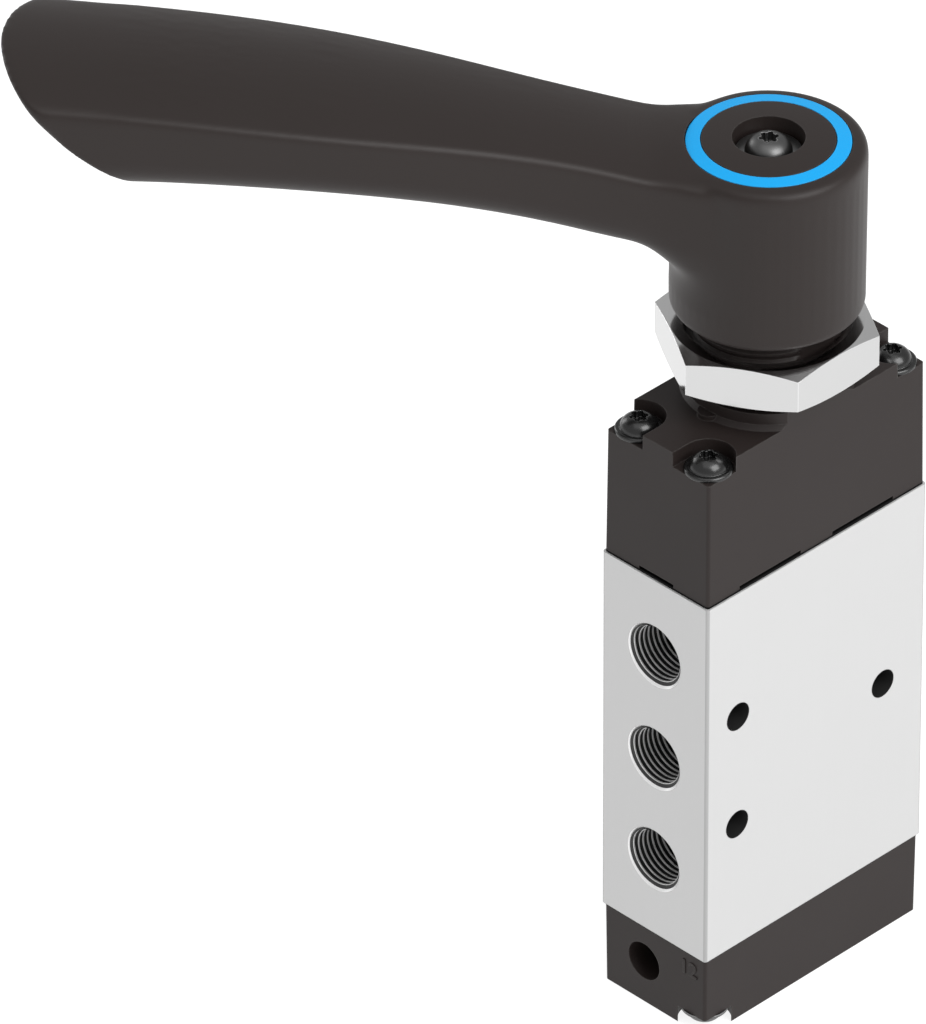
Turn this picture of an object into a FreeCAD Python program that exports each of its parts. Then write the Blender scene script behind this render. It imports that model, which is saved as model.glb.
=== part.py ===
import FreeCAD, Part

import math
import os

from FreeCAD import Vector

# Hand lever air valve: a 5/2 spool valve with a turning lever on top.
# Lengths are in millimetres. The origin is the middle of the end cap's lower
# face, on the lever's axis. +Z is up, -Y is the face with three ports, and the
# broad faces with the mounting holes look along +X and -X.

# Body
body_width = 21.0
body_depth = 44.5
body_height = 62.15
body_edge_radius = 0.5
spool_bore_radius = 6.5

# Ports, G1/8: the bore is cut to the thread's major radius
port_pitch = 18.0
port_thread_radius = 4.864
port_thread_depth = 8.5
port_chamfer_radius = 5.2
port_drill_point = 1.6
port_passage_radius = 2.8

# Mounting holes through the broad faces
mounting_hole_radius = 2.25
mounting_hole_span = 19.0
mounting_inset_front = 6.3
mounting_inset_back = 8.45

# Moulded ends and their gaskets
gasket_thickness = 0.35
gasket_inset = 0.25
draft_slope = math.tan(math.radians(0.5))
moulding_edge_radius = 0.5
end_cap_height = 13.5
end_cap_inset = 0.32
end_cap_floor = 3.0
cover_inset = 0.26
cover_shelf_height = 20.6
cover_plateau_height = 23.05
pry_slot_height = 0.55
pry_slot_depth = 1.0
pry_slot_front_width = 6.8
pry_slot_side_start = 3.2
pry_slot_side_end = 15.6

# Vent hole in the end cap's front face
vent_radius = 3.1
vent_offset = -2.2
vent_height = 7.3
vent_depth = 18.4

# Corner screws, M3 with flanged button heads
corner_screw_inset = 3.65
corner_screw_radius = 1.5
corner_screw_grip = 8.0
corner_flange_radius = 3.5
corner_flange_thickness = 0.6
corner_flange_round = 0.36
corner_dome_radius = 2.8
corner_dome_height = 1.75
corner_socket_radius = 1.4
corner_socket_depth = 1.1
pocket_radius = 3.9
end_pocket_depth = 2.8

# Threaded collar: the stem is cut to the thread's pitch radius
boss_radius = 11.7
boss_height = 2.5
boss_foot = 0.7
collar_radius = 10.5
collar_height = 14.0
collar_edge_chamfer = 0.5
nub_width = 3.4
nub_reach = 1.5
nub_height = 0.8

# Panel nut
nut_across_flats = 28.3
nut_thickness = 6.6
nut_height_above_plateau = 4.9
nut_face_radius = 14.0
nut_chamfer_slope = math.tan(math.radians(19.0))
nut_countersink_radius = 12.3
nut_countersink_depth = 1.3
nut_clearance = 0.05

# Spool, seals and cages in the body's bore
spool_radius = 4.0
spool_waist_radius = 2.8
spool_length = 54.0
spool_edge_chamfer = 0.6
stroke = 4.5
seal_width = 3.0
seal_hollow = 0.4
seal_lip_relief = 0.25
waist_lead = 0.75
waist_shoulder = 0.4
running_clearance = 0.05
cage_wall = 1.1
cage_clearance = 0.05
cage_window_radius = 1.6
cage_windows = 6
o_ring_section_radius = 0.7
o_ring_land = 2.2

# Return spring under the spool
spring_wire_radius = 0.4
spring_mean_radius = 2.9
spring_turns = 7
spring_cavity_radius = 4.5
spring_gap = 0.05

# Cam drive in the cover
cam_cavity_radius = 8.4
cam_cavity_height = 24.05
thrust_washer_thickness = 0.8
cam_head_thickness = 5.0
cam_ramp_inner_radius = 4.5
cam_ramp_outer_radius = 8.0
cam_ramp_root = 0.5
cam_lobe_angle = 0.0
cam_gap = 0.05
follower_thickness = 4.0
follower_clearance = 0.15
follower_key_width = 4.0
follower_key_reach = 10.6
follower_stem_radius = 3.0

# Detents: a ball and a spring on each side of the cam head
detent_ball_radius = 1.25
detent_groove_depth = 0.5
detent_dimple_depth = 0.35
detent_hole_length = 6.5
detent_height = 2.0
detent_wire_radius = 0.25
detent_turns = 5
detent_clearance = 0.05

# Cam shaft through the collar
shaft_radius = 5.0
shaft_shoulder_height = 2.6
shaft_square = 7.0
shaft_square_length = 15.0
shaft_edge_chamfer = 0.5
shaft_groove_height = 7.0
shaft_o_ring_section = 0.62
shaft_groove_clearance = 0.15

# Lever hub
hub_gap = 0.2
hub_radius = 14.0
hub_height = 27.55
hub_draft_slope = math.tan(math.radians(0.25))
hub_dome_radius = 85.0
hub_top_round = 1.4
hub_bottom_round = 1.2
hub_core_radius = 10.0
hub_core_height = 15.0
hub_boss_radius = 7.2
hub_rib_width = 1.6
hub_fit = 0.03
recess_radius = 5.15
recess_depth = 3.4
ring_inner_radius = 9.6
ring_outer_radius = 11.65
ring_depth = 1.0
ring_clearance = 0.05

# Lever screw, M4 with a button head, and its washer
lever_screw_radius = 2.0
lever_screw_length = 19.0
lever_screw_head_radius = 3.4
lever_screw_head_height = 2.2
lever_socket_radius = 1.45
lever_socket_depth = 1.5
lever_washer_radius = 4.7
lever_washer_thickness = 1.0

# What the screws share, and how far cutters run past the faces that they open
head_flat_share = 0.45
head_bulge_share = 0.2
socket_lobe_share = 0.27
socket_core_share = 0.74
thread_clearance = 0.05
hole_clearance = 0.2
tap_runout = 1.0
overrun = 1.0

# Lever blade: each station is its distance from the axis, its half width, and
# the heights of its top edges and underside against the hub's top
blade_direction = 225.0
blade_stations = [
    (4.0, 12.6, -2.2, -19.0),
    (8.5, 11.7, -1.75, -18.6),
    (12.5, 10.95, -1.25, -17.9),
    (14.4, 10.6, -1.12, -16.6),
    (16.8, 10.4, -0.85, -14.35),
    (20.0, 10.32, -0.05, -13.05),
    (24.0, 10.33, 1.05, -11.8),
    (32.0, 10.75, 3.06, -9.29),
    (44.0, 12.13, 5.75, -5.89),
    (58.0, 13.84, 8.36, -2.92),
    (72.0, 14.71, 10.58, -1.06),
    (86.0, 14.84, 12.44, -0.1),
    (98.0, 14.84, 13.75, 0.15),
    (110.0, 14.8, 14.65, 0.3),
]
blade_crown_radius = 48.0
blade_top_round = 1.4
blade_bottom_round = 5.0
blade_root_round = 2.5
tip_reach = 107.0
tip_arc_radius = 25.0
tip_corner_radius = 5.0
tip_top_rise = 16.2
tip_sweep_back = 17.8
tip_sweep_radius = 45.0
tip_sweep_angle = 80.0
tip_end_height = 16.7
tip_bow = 1.75
tip_side_gap = 0.2

# Levels worked out from the sizes above
body_bottom = end_cap_height + gasket_thickness
body_top = body_bottom + body_height
body_middle = body_bottom + body_height / 2
cover_bottom = body_top + gasket_thickness
cover_shelf = cover_bottom + cover_shelf_height
cover_plateau = cover_bottom + cover_plateau_height
collar_top = cover_plateau + collar_height
hub_bottom = collar_top + hub_gap
hub_top = hub_bottom + hub_height
nut_bottom = cover_plateau + nut_height_above_plateau
cam_ceiling = cover_bottom + cam_cavity_height
cam_head_top = cam_ceiling - thrust_washer_thickness - running_clearance
cam_head_bottom = cam_head_top - cam_head_thickness
shaft_shoulder = collar_top + shaft_shoulder_height
shaft_top = shaft_shoulder + shaft_square_length
recess_floor = hub_top - recess_depth
spool_bottom = body_middle - spool_length / 2 + stroke / 2
spool_top = spool_bottom + spool_length
station_pitch = port_pitch / 2
spool_bush_radius = spool_radius + running_clearance

# Places worked out from the sizes above
port_face = -body_depth / 2
corner_screw_places = [
    Vector(side_x * (body_width / 2 - corner_screw_inset), side_y * (body_depth / 2 - corner_screw_inset), 0)
    for side_x in (-1, 1)
    for side_y in (-1, 1)
]
end_screw_places = [place for place in corner_screw_places if place.x * place.y < 0]
front_port_heights = [body_middle + step * port_pitch for step in (-1, 0, 1)]
back_port_heights = [body_middle + step * station_pitch for step in (-1, 1)]
seal_heights = [body_middle + (index - 2.5) * station_pitch for index in range(6)]
cage_heights = [body_middle + (index - 2) * station_pitch for index in range(5)]


def cylinder(radius, bottom, top, x=0.0, y=0.0):
    return Part.makeCylinder(radius, top - bottom, Vector(x, y, bottom))


def tube(outer_radius, inner_radius, bottom, top):
    return cylinder(outer_radius, bottom, top).cut(cylinder(inner_radius, bottom, top))


def block(low, high):
    size = [high[axis] - low[axis] for axis in range(3)]
    return Part.makeBox(size[0], size[1], size[2], Vector(*low))


def closed_wire(points):
    return Part.makePolygon([Vector(*point) for point in points] + [Vector(*points[0])])


def turned(outline):
    """Revolve a closed outline of (radius, height) points about the axis."""
    face = Part.Face(closed_wire([(radius, 0, height) for radius, height in outline]))
    return face.revolve(Vector(0, 0, 0), Vector(0, 0, 1), 360)


def rounded_rectangle(width, depth, height, radius):
    """Outline of a rectangle with round corners, lying at the given height."""
    half_x = width / 2
    half_y = depth / 2
    inner_x = half_x - radius
    inner_y = half_y - radius
    diagonal = radius * math.sqrt(0.5)
    corners = []
    for side_x, side_y in ((1, 1), (-1, 1), (-1, -1), (1, -1)):
        on_side = Vector(side_x * half_x, side_y * inner_y, height)
        on_end = Vector(side_x * inner_x, side_y * half_y, height)
        middle = Vector(side_x * (inner_x + diagonal), side_y * (inner_y + diagonal), height)
        corners.append((on_side, middle, on_end) if side_x == side_y else (on_end, middle, on_side))
    edges = []
    for index, corner in enumerate(corners):
        edges.append(Part.LineSegment(corners[index - 1][2], corner[0]).toShape())
        edges.append(Part.Arc(*corner).toShape())
    return Part.Wire(edges)


def prism(width, depth, bottom, top, radius):
    face = Part.Face(rounded_rectangle(width, depth, bottom, radius))
    return face.extrude(Vector(0, 0, top - bottom))


def drafted_prism(width, depth, inset, slope_per_height, bottom, top, wide_end):
    """Rounded block whose sides close in by the draft away from its wide end."""
    outlines = []
    for height in (bottom, top):
        shrink = 2 * (inset + slope_per_height * abs(height - wide_end))
        outlines.append(rounded_rectangle(width - shrink, depth - shrink, height, moulding_edge_radius))
    return Part.makeLoft(outlines, True, True)


def ring_of_wire(mean_radius, wire_radius, height):
    return Part.makeTorus(mean_radius, wire_radius, Vector(0, 0, height))


def coil(mean_radius, wire_radius, turns, length):
    """Helical spring standing on z = 0, with its axis on Z."""
    rise = length - 2 * wire_radius
    path = Part.makeHelix(rise / turns, rise, mean_radius)
    section = Part.Wire(Part.makeCircle(wire_radius, Vector(mean_radius, 0, 0), Vector(0, 1, 0)))
    spring = Part.Wire(path).makePipeShell([section], True, True)
    spring.translate(Vector(0, 0, wire_radius))
    return spring


def lobed_socket(radius, depth, top):
    """Six-lobed drive recess, opening upwards at the given height."""
    lobe_radius = radius * socket_lobe_share
    recess = cylinder(radius * socket_core_share, top - depth, top)
    for index in range(6):
        turn = math.radians(60 * index)
        reach = radius - lobe_radius
        recess = recess.fuse(
            cylinder(lobe_radius, top - depth, top, reach * math.cos(turn), reach * math.sin(turn))
        )
    return recess.removeSplitter()


def button_head(radius, height, seat):
    """Domed head standing on its seat, flat in the middle where the drive sits."""
    centre = Vector(0, 0, seat)
    rim = Vector(radius, 0, seat)
    crown_edge = Vector(radius * head_flat_share, 0, seat + height)
    crown = Vector(0, 0, seat + height)
    outward = Vector(height, 0, rim.x - crown_edge.x).normalize()
    bulge = (rim + crown_edge) * 0.5 + outward * height * head_bulge_share
    outline = [
        Part.LineSegment(centre, rim).toShape(),
        Part.Arc(rim, bulge, crown_edge).toShape(),
        Part.LineSegment(crown_edge, crown).toShape(),
        Part.LineSegment(crown, centre).toShape(),
    ]
    return Part.Face(Part.Wire(outline)).revolve(Vector(0, 0, 0), Vector(0, 0, 1), 360)


def corner_screw(shank_length):
    """Flanged screw with its seat at z = 0 and its shank pointing down."""
    flange_top = corner_flange_thickness
    head = cylinder(corner_flange_radius, 0, flange_top)
    upper_rim = [edge for edge in head.Edges if edge.Closed and edge.Vertexes[0].Z > flange_top / 2]
    head = head.makeFillet(corner_flange_round, upper_rim)
    head = head.fuse(button_head(corner_dome_radius, corner_dome_height, flange_top))
    head_top = flange_top + corner_dome_height
    head = head.cut(lobed_socket(corner_socket_radius, corner_socket_depth, head_top))
    return head.fuse(cylinder(corner_screw_radius, -shank_length, 0)).removeSplitter()


def corner_pocket(place, bottom, top, wall_offset):
    """Round pocket round a corner screw's head, open at the moulding's corner.

    The wall that runs out to the narrow face stands wall_offset inside the screw's axis.
    """
    side_x = math.copysign(1, place.x)
    side_y = math.copysign(1, place.y)
    hole = cylinder(pocket_radius, bottom, top, place.x, place.y)
    wall_x = place.x - side_x * wall_offset
    opening = block_between(wall_x, side_x * body_width, place.y, side_y * body_depth, bottom, top)
    return hole.fuse(opening)


def block_between(x_one, x_two, y_one, y_two, bottom, top):
    return block(
        (min(x_one, x_two), min(y_one, y_two), bottom),
        (max(x_one, x_two), max(y_one, y_two), top),
    )


def valve_body():
    body = prism(body_width, body_depth, body_bottom, body_top, body_edge_radius)
    body = body.cut(cylinder(spool_bore_radius, body_bottom, body_top))
    for height in front_port_heights:
        body = body.cut(port_cutter(height, -1))
    for height in back_port_heights:
        body = body.cut(port_cutter(height, 1))
    for place in mounting_places():
        hole = Part.makeCylinder(mounting_hole_radius, body_width, place, Vector(1, 0, 0))
        body = body.cut(hole)
    radius = corner_screw_radius + thread_clearance
    hole_depth = corner_screw_grip + tap_runout
    for place in corner_screw_places:
        body = body.cut(cylinder(radius, body_top - hole_depth, body_top, place.x, place.y))
    for place in end_screw_places:
        body = body.cut(cylinder(radius, body_bottom, body_bottom + hole_depth, place.x, place.y))
    return body


def mounting_places():
    front_y = port_face + mounting_inset_front
    back_y = -port_face - mounting_inset_back
    start = -body_width / 2
    return [
        Vector(start, front_y, body_middle - mounting_hole_span / 2),
        Vector(start, front_y, body_middle + mounting_hole_span / 2),
        Vector(start, back_y, body_middle),
    ]


def port_cutter(height, side):
    """Threaded port from one narrow face, with its passage to the spool bore."""
    chamfer = port_chamfer_radius - port_thread_radius
    depth = body_depth / 2
    outline = [
        (0, depth),
        (port_chamfer_radius, depth),
        (port_thread_radius, depth - chamfer),
        (port_thread_radius, depth - port_thread_depth),
        (port_passage_radius, depth - port_thread_depth - port_drill_point),
        (port_passage_radius, 0),
        (0, 0),
    ]
    cutter = turned(outline)
    cutter.rotate(Vector(0, 0, 0), Vector(1, 0, 0), -side * 90)
    cutter.translate(Vector(0, 0, height))
    return cutter


def gasket(bottom, screw_places):
    width = body_width - 2 * gasket_inset
    depth = body_depth - 2 * gasket_inset
    plate = prism(width, depth, bottom, bottom + gasket_thickness, body_edge_radius)
    plate = plate.cut(cylinder(spool_bore_radius, bottom, bottom + gasket_thickness))
    for place in screw_places:
        radius = corner_screw_radius + hole_clearance
        plate = plate.cut(cylinder(radius, bottom, bottom + gasket_thickness, place.x, place.y))
    return plate


def end_cap():
    cap = drafted_prism(
        body_width, body_depth, end_cap_inset, draft_slope, 0, end_cap_height, end_cap_height
    )
    cap = cap.cut(cylinder(spring_cavity_radius, end_cap_floor, end_cap_height))
    vent_start = Vector(vent_offset, port_face, vent_height)
    cap = cap.cut(Part.makeCylinder(vent_radius, vent_depth, vent_start, Vector(0, 1, 0)))
    for place in end_screw_places:
        cap = cap.cut(corner_pocket(place, 0, end_pocket_depth, 0))
        radius = corner_screw_radius + hole_clearance
        cap = cap.cut(cylinder(radius, 0, end_cap_height, place.x, place.y))
    return cap


def collar_blank():
    """Boss and stem of the collar, before its flats are cut."""
    boss_top = cover_plateau + boss_height
    outline = [
        (0, cover_plateau),
        (boss_radius + boss_foot, cover_plateau),
        (boss_radius, cover_plateau + boss_foot),
        (boss_radius, boss_top),
        (collar_radius, boss_top),
        (collar_radius, collar_top - collar_edge_chamfer),
        (collar_radius - collar_edge_chamfer, collar_top),
        (0, collar_top),
    ]
    blank = turned(outline)
    nub_y = nub_width / 2 - boss_radius - nub_reach
    nub = cylinder(nub_width / 2, cover_plateau, cover_plateau + nub_height, 0, nub_y)
    stem = block(
        (-nub_width / 2, nub_y, cover_plateau),
        (nub_width / 2, nub_width - boss_radius, cover_plateau + nub_height),
    )
    return blank.fuse(nub).fuse(stem)


def top_cover():
    block_shape = drafted_prism(
        body_width, body_depth, cover_inset, draft_slope, cover_bottom, cover_plateau, cover_bottom
    )
    for place in corner_screw_places:
        block_shape = block_shape.cut(corner_pocket(place, cover_shelf, cover_plateau, pocket_radius))
    flat = body_width / 2 - cover_inset - draft_slope * cover_plateau_height
    flats = block((-flat, -body_depth, cover_plateau), (flat, body_depth, collar_top))
    cover = block_shape.fuse(collar_blank().common(flats))
    cover = cover.cut(cylinder(cam_cavity_radius, cover_bottom, cam_ceiling))
    cover = cover.cut(cylinder(shaft_radius + running_clearance, cam_ceiling, collar_top))
    cover = cover.cut(follower_keyway())
    for side in (-1, 1):
        cover = cover.cut(detent_hole(side))
    for place in corner_screw_places:
        radius = corner_screw_radius + hole_clearance
        cover = cover.cut(cylinder(radius, cover_bottom, cover_shelf, place.x, place.y))
    for slot in pry_slots():
        cover = cover.cut(slot)
    return cover.removeSplitter()


def follower_keyway():
    half = follower_key_width / 2 + follower_clearance
    reach = follower_key_reach + follower_clearance
    top = cam_head_bottom - cam_ramp_root - stroke
    return block((-half, -reach, cover_bottom), (half, reach, top))


def pry_slots():
    """Shallow slots along the cover's lower edge, on all four sides."""
    top = cover_bottom + pry_slot_height
    slots = []
    for side in (-1, 1):
        outer_y = side * body_depth
        inner_y = side * (body_depth / 2 - cover_inset - pry_slot_depth)
        half = pry_slot_front_width / 2
        slots.append(block_between(-half, half, inner_y, outer_y, cover_bottom, top))
        outer_x = side * body_width
        inner_x = side * (body_width / 2 - cover_inset - pry_slot_depth)
        for end in (-1, 1):
            start_y = end * pry_slot_side_start
            end_y = end * pry_slot_side_end
            slots.append(block_between(inner_x, outer_x, start_y, end_y, cover_bottom, top))
    return slots


def corner_screw_set(places, seat, direction, grip_length):
    """Corner screws whose heads look up (1) or down (-1)."""
    screws = []
    for place in places:
        screw = corner_screw(grip_length)
        if direction < 0:
            screw.rotate(Vector(0, 0, 0), Vector(1, 0, 0), 180)
        screw.translate(Vector(place.x, place.y, seat))
        screws.append(screw)
    return Part.makeCompound(screws)


def panel_nut():
    nut_top = nut_bottom + nut_thickness
    corner_radius = nut_across_flats / 2 / math.cos(math.radians(30))
    corners = []
    for index in range(6):
        turn = math.radians(30 + 60 * index)
        corners.append((corner_radius * math.cos(turn), corner_radius * math.sin(turn), nut_bottom))
    nut = Part.Face(closed_wire(corners)).extrude(Vector(0, 0, nut_thickness))
    outside = corner_radius + overrun
    chamfer_drop = (outside - nut_face_radius) * nut_chamfer_slope
    envelope = turned([
        (0, nut_bottom),
        (nut_face_radius, nut_bottom),
        (outside, nut_bottom + chamfer_drop),
        (outside, nut_top - chamfer_drop),
        (nut_face_radius, nut_top),
        (0, nut_top),
    ])
    bore_radius = collar_radius + nut_clearance
    bore = turned([
        (0, nut_bottom),
        (nut_countersink_radius, nut_bottom),
        (bore_radius, nut_bottom + nut_countersink_depth),
        (bore_radius, nut_top - nut_countersink_depth),
        (nut_countersink_radius, nut_top),
        (0, nut_top),
    ])
    return nut.common(envelope).cut(bore)


def seal_ring(height):
    """Lip seal between two cages, slightly hollow on both faces."""
    bottom = height - seal_width / 2
    top = height + seal_width / 2
    middle_radius = (spool_bore_radius + spool_bush_radius) / 2
    return turned([
        (spool_bush_radius + seal_lip_relief, bottom),
        (middle_radius - seal_hollow, bottom),
        (middle_radius, bottom + seal_hollow),
        (middle_radius + seal_hollow, bottom),
        (spool_bore_radius, bottom),
        (spool_bore_radius, top),
        (middle_radius + seal_hollow, top),
        (middle_radius, top - seal_hollow),
        (middle_radius - seal_hollow, top),
        (spool_bush_radius + seal_lip_relief, top),
        (spool_bush_radius, height),
    ])


def port_cage(height):
    """Spacer between two seals, with windows that let the air through."""
    half = (station_pitch - seal_width) / 2
    outer_radius = spool_bore_radius - cage_clearance
    cage = tube(outer_radius, outer_radius - cage_wall, height - half, height + half)
    for index in range(cage_windows // 2):
        turn = math.radians(90 + 180 * index / (cage_windows // 2))
        direction = Vector(math.cos(turn), math.sin(turn), 0)
        start = Vector(0, 0, height) - direction * spool_bore_radius
        cage = cage.cut(Part.makeCylinder(cage_window_radius, 2 * spool_bore_radius, start, direction))
    return cage


def bush_span(end):
    """Bottom and top of a guide bush: end is -1 below the seals, 1 above."""
    seal_stack = station_pitch * 5 / 2 + seal_width / 2
    if end < 0:
        return body_bottom, body_middle - seal_stack
    return body_middle + seal_stack, body_top


def guide_bush(end):
    bottom, top = bush_span(end)
    groove_radius = spool_bore_radius - 2 * o_ring_section_radius
    groove_middle = (bottom + top) / 2
    bush = tube(spool_bore_radius - cage_clearance, spool_bush_radius, bottom, top)
    groove = tube(
        spool_bore_radius,
        groove_radius,
        groove_middle - o_ring_land / 2,
        groove_middle + o_ring_land / 2,
    )
    return bush.cut(groove)


def bush_o_rings():
    rings = []
    for end in (-1, 1):
        bottom, top = bush_span(end)
        mean_radius = spool_bore_radius - o_ring_section_radius
        rings.append(ring_of_wire(mean_radius, o_ring_section_radius, (bottom + top) / 2))
    return Part.makeCompound(rings)


def waist_spans():
    """Bottom and top of each waist at rest, from the seals that it has to bridge."""
    half = seal_width / 2 + waist_lead
    return [
        (seal_heights[1] - half, seal_heights[1] + half),
        (seal_heights[2] - half + stroke, seal_heights[3] + half),
        (seal_heights[4] - half + stroke, seal_heights[4] + half + stroke),
    ]


def spool():
    bar = cylinder(spool_radius, spool_bottom, spool_top)
    bar = bar.makeChamfer(spool_edge_chamfer, [edge for edge in bar.Edges if edge.Closed])
    for bottom, top in waist_spans():
        waist = turned([
            (spool_waist_radius, bottom + waist_shoulder),
            (spool_radius + waist_shoulder, bottom - waist_shoulder),
            (spool_radius + waist_shoulder, top + waist_shoulder),
            (spool_waist_radius, top - waist_shoulder),
        ])
        bar = bar.cut(waist)
    return bar


def return_spring():
    length = spool_bottom - end_cap_floor - 2 * spring_gap
    spring = coil(spring_mean_radius, spring_wire_radius, spring_turns, length)
    spring.translate(Vector(0, 0, end_cap_floor + spring_gap))
    return spring


def helix_edge(radius, start_angle, end_angle, start_height, end_height):
    """Curve that climbs evenly as it turns, between two angles in degrees."""
    steps = 12
    points = []
    for step in range(steps + 1):
        share = step / steps
        turn = math.radians(start_angle + (end_angle - start_angle) * share)
        height = start_height + (end_height - start_height) * share
        points.append(Vector(radius * math.cos(turn), radius * math.sin(turn), height))
    curve = Part.BSplineCurve()
    curve.interpolate(points)
    return curve.toShape()


def cam_ramp(start_angle, base, start_height, end_height):
    """Quarter ring between a flat base and a screw surface that rises evenly."""
    end_angle = start_angle + 90
    base_edges = []
    face_edges = []
    for radius in (cam_ramp_inner_radius, cam_ramp_outer_radius):
        base_edges.append(helix_edge(radius, start_angle, end_angle, base, base))
        face_edges.append(helix_edge(radius, start_angle, end_angle, start_height, end_height))
    walls = [
        Part.makeRuledSurface(base_edges[0], base_edges[1]),
        Part.makeRuledSurface(face_edges[0], face_edges[1]),
        Part.makeRuledSurface(base_edges[0], face_edges[0]),
        Part.makeRuledSurface(base_edges[1], face_edges[1]),
    ]
    for angle, height in ((start_angle, start_height), (end_angle, end_height)):
        turn = math.radians(angle)
        corners = []
        for radius, level in (
            (cam_ramp_inner_radius, base),
            (cam_ramp_outer_radius, base),
            (cam_ramp_outer_radius, height),
            (cam_ramp_inner_radius, height),
        ):
            corners.append((radius * math.cos(turn), radius * math.sin(turn), level))
        walls.append(Part.Face(closed_wire(corners)))
    shell = Part.makeShell(walls)
    shell.sewShape()
    ramp = Part.Solid(shell)
    if ramp.Volume < 0:
        ramp.reverse()
    return ramp


def cam_crown(base, low_height, high_height):
    """Crown of two lobes: its face falls and rises by one stroke each half turn."""
    crown = []
    for index in range(4):
        start, end = (high_height, low_height) if index % 2 == 0 else (low_height, high_height)
        crown.append(cam_ramp(90 * index + cam_lobe_angle, base, start, end))
    return crown


def cam_shaft():
    ramp_top = cam_head_bottom - cam_ramp_root
    head_radius = cam_cavity_radius - running_clearance
    shaft = cylinder(head_radius, cam_head_bottom, cam_head_top)
    for ramp in cam_crown(cam_head_bottom, ramp_top - stroke, ramp_top):
        shaft = shaft.fuse(ramp)
    for hollow in detent_track():
        shaft = shaft.cut(hollow)
    shaft = shaft.fuse(cylinder(shaft_radius, cam_head_top, shaft_shoulder))
    shaft = shaft.fuse(square_drive(shaft_square, shaft_shoulder, shaft_top))
    groove_height = cam_ceiling + shaft_groove_height
    groove_radius = shaft_radius - 2 * shaft_o_ring_section
    groove_half = shaft_o_ring_section + shaft_groove_clearance
    groove_bottom = groove_height - groove_half
    groove = tube(shaft_radius + overrun, groove_radius, groove_bottom, groove_bottom + 2 * groove_half)
    shaft = shaft.cut(groove)
    tapped_depth = lever_screw_length + tap_runout - (recess_floor + lever_washer_thickness - shaft_top)
    return shaft.cut(cylinder(lever_screw_radius + thread_clearance, shaft_top - tapped_depth, shaft_top))


def square_drive(across_flats, bottom, top):
    half = across_flats / 2
    drive = block((-half, -half, bottom), (half, half, top))
    upright = [edge for edge in drive.Edges if abs(edge.Vertexes[0].Z - edge.Vertexes[1].Z) > 1]
    drive = drive.makeChamfer(shaft_edge_chamfer, upright)
    drive.rotate(Vector(0, 0, 0), Vector(0, 0, 1), blade_direction)
    return drive


def detent_centre():
    groove_floor = cam_cavity_radius - running_clearance - detent_groove_depth
    return groove_floor + detent_ball_radius + detent_clearance


def detent_level():
    return cam_head_bottom + detent_height


def detent_track():
    """Round groove that the balls run in, with a dimple every quarter turn."""
    centre = detent_centre()
    hollows = [ring_of_wire(centre, detent_ball_radius + detent_clearance, detent_level())]
    for index in range(4):
        turn = math.radians(90 * index)
        reach = centre - detent_dimple_depth
        place = Vector(reach * math.cos(turn), reach * math.sin(turn), detent_level())
        hollows.append(Part.makeSphere(detent_ball_radius, place))
    return hollows


def detent_hole(side):
    radius = detent_ball_radius + detent_clearance
    start = Vector(0, side * (cam_cavity_radius - overrun), detent_level())
    return Part.makeCylinder(radius, detent_hole_length + overrun, start, Vector(0, side, 0))


def detent_balls():
    balls = []
    for side in (-1, 1):
        place = Vector(0, side * detent_centre(), detent_level())
        balls.append(Part.makeSphere(detent_ball_radius, place))
    return Part.makeCompound(balls)


def detent_springs():
    start = detent_centre() + detent_ball_radius + detent_clearance
    length = cam_cavity_radius + detent_hole_length - start - detent_clearance
    springs = []
    for side in (-1, 1):
        mean_radius = detent_ball_radius - detent_wire_radius - detent_clearance
        spring = coil(mean_radius, detent_wire_radius, detent_turns, length)
        spring.rotate(Vector(0, 0, 0), Vector(1, 0, 0), -side * 90)
        spring.translate(Vector(0, side * start, detent_level()))
        springs.append(spring)
    return Part.makeCompound(springs)


def cam_follower():
    ramp_top = cam_head_bottom - cam_ramp_root - cam_gap
    disc_top = ramp_top - stroke - cam_ramp_root
    disc_bottom = disc_top - follower_thickness
    follower = cylinder(cam_cavity_radius - follower_clearance, disc_bottom, disc_top)
    half = follower_key_width / 2
    key = block((-half, -follower_key_reach, disc_bottom), (half, follower_key_reach, disc_top))
    follower = follower.fuse(key)
    for ramp in cam_crown(disc_top, ramp_top - stroke, ramp_top):
        follower = follower.fuse(ramp)
    return follower.fuse(cylinder(follower_stem_radius, spool_top, disc_bottom))


def thrust_washer():
    outer_radius = cam_cavity_radius - follower_clearance
    bottom = cam_ceiling - thrust_washer_thickness
    return tube(outer_radius, shaft_radius + hole_clearance, bottom, cam_ceiling)


def shaft_o_ring():
    mean_radius = shaft_radius - shaft_o_ring_section
    return ring_of_wire(mean_radius, shaft_o_ring_section, cam_ceiling + shaft_groove_height)


def dome_height(radius):
    """Height of the hub's domed top at a distance from its axis."""
    return hub_top - hub_dome_radius + math.sqrt(hub_dome_radius ** 2 - radius ** 2)


def dome_arc(inner_radius, outer_radius):
    middle = (inner_radius + outer_radius) / 2
    points = [Vector(radius, 0, dome_height(radius)) for radius in (inner_radius, middle, outer_radius)]
    return Part.Arc(*points).toShape()


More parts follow.
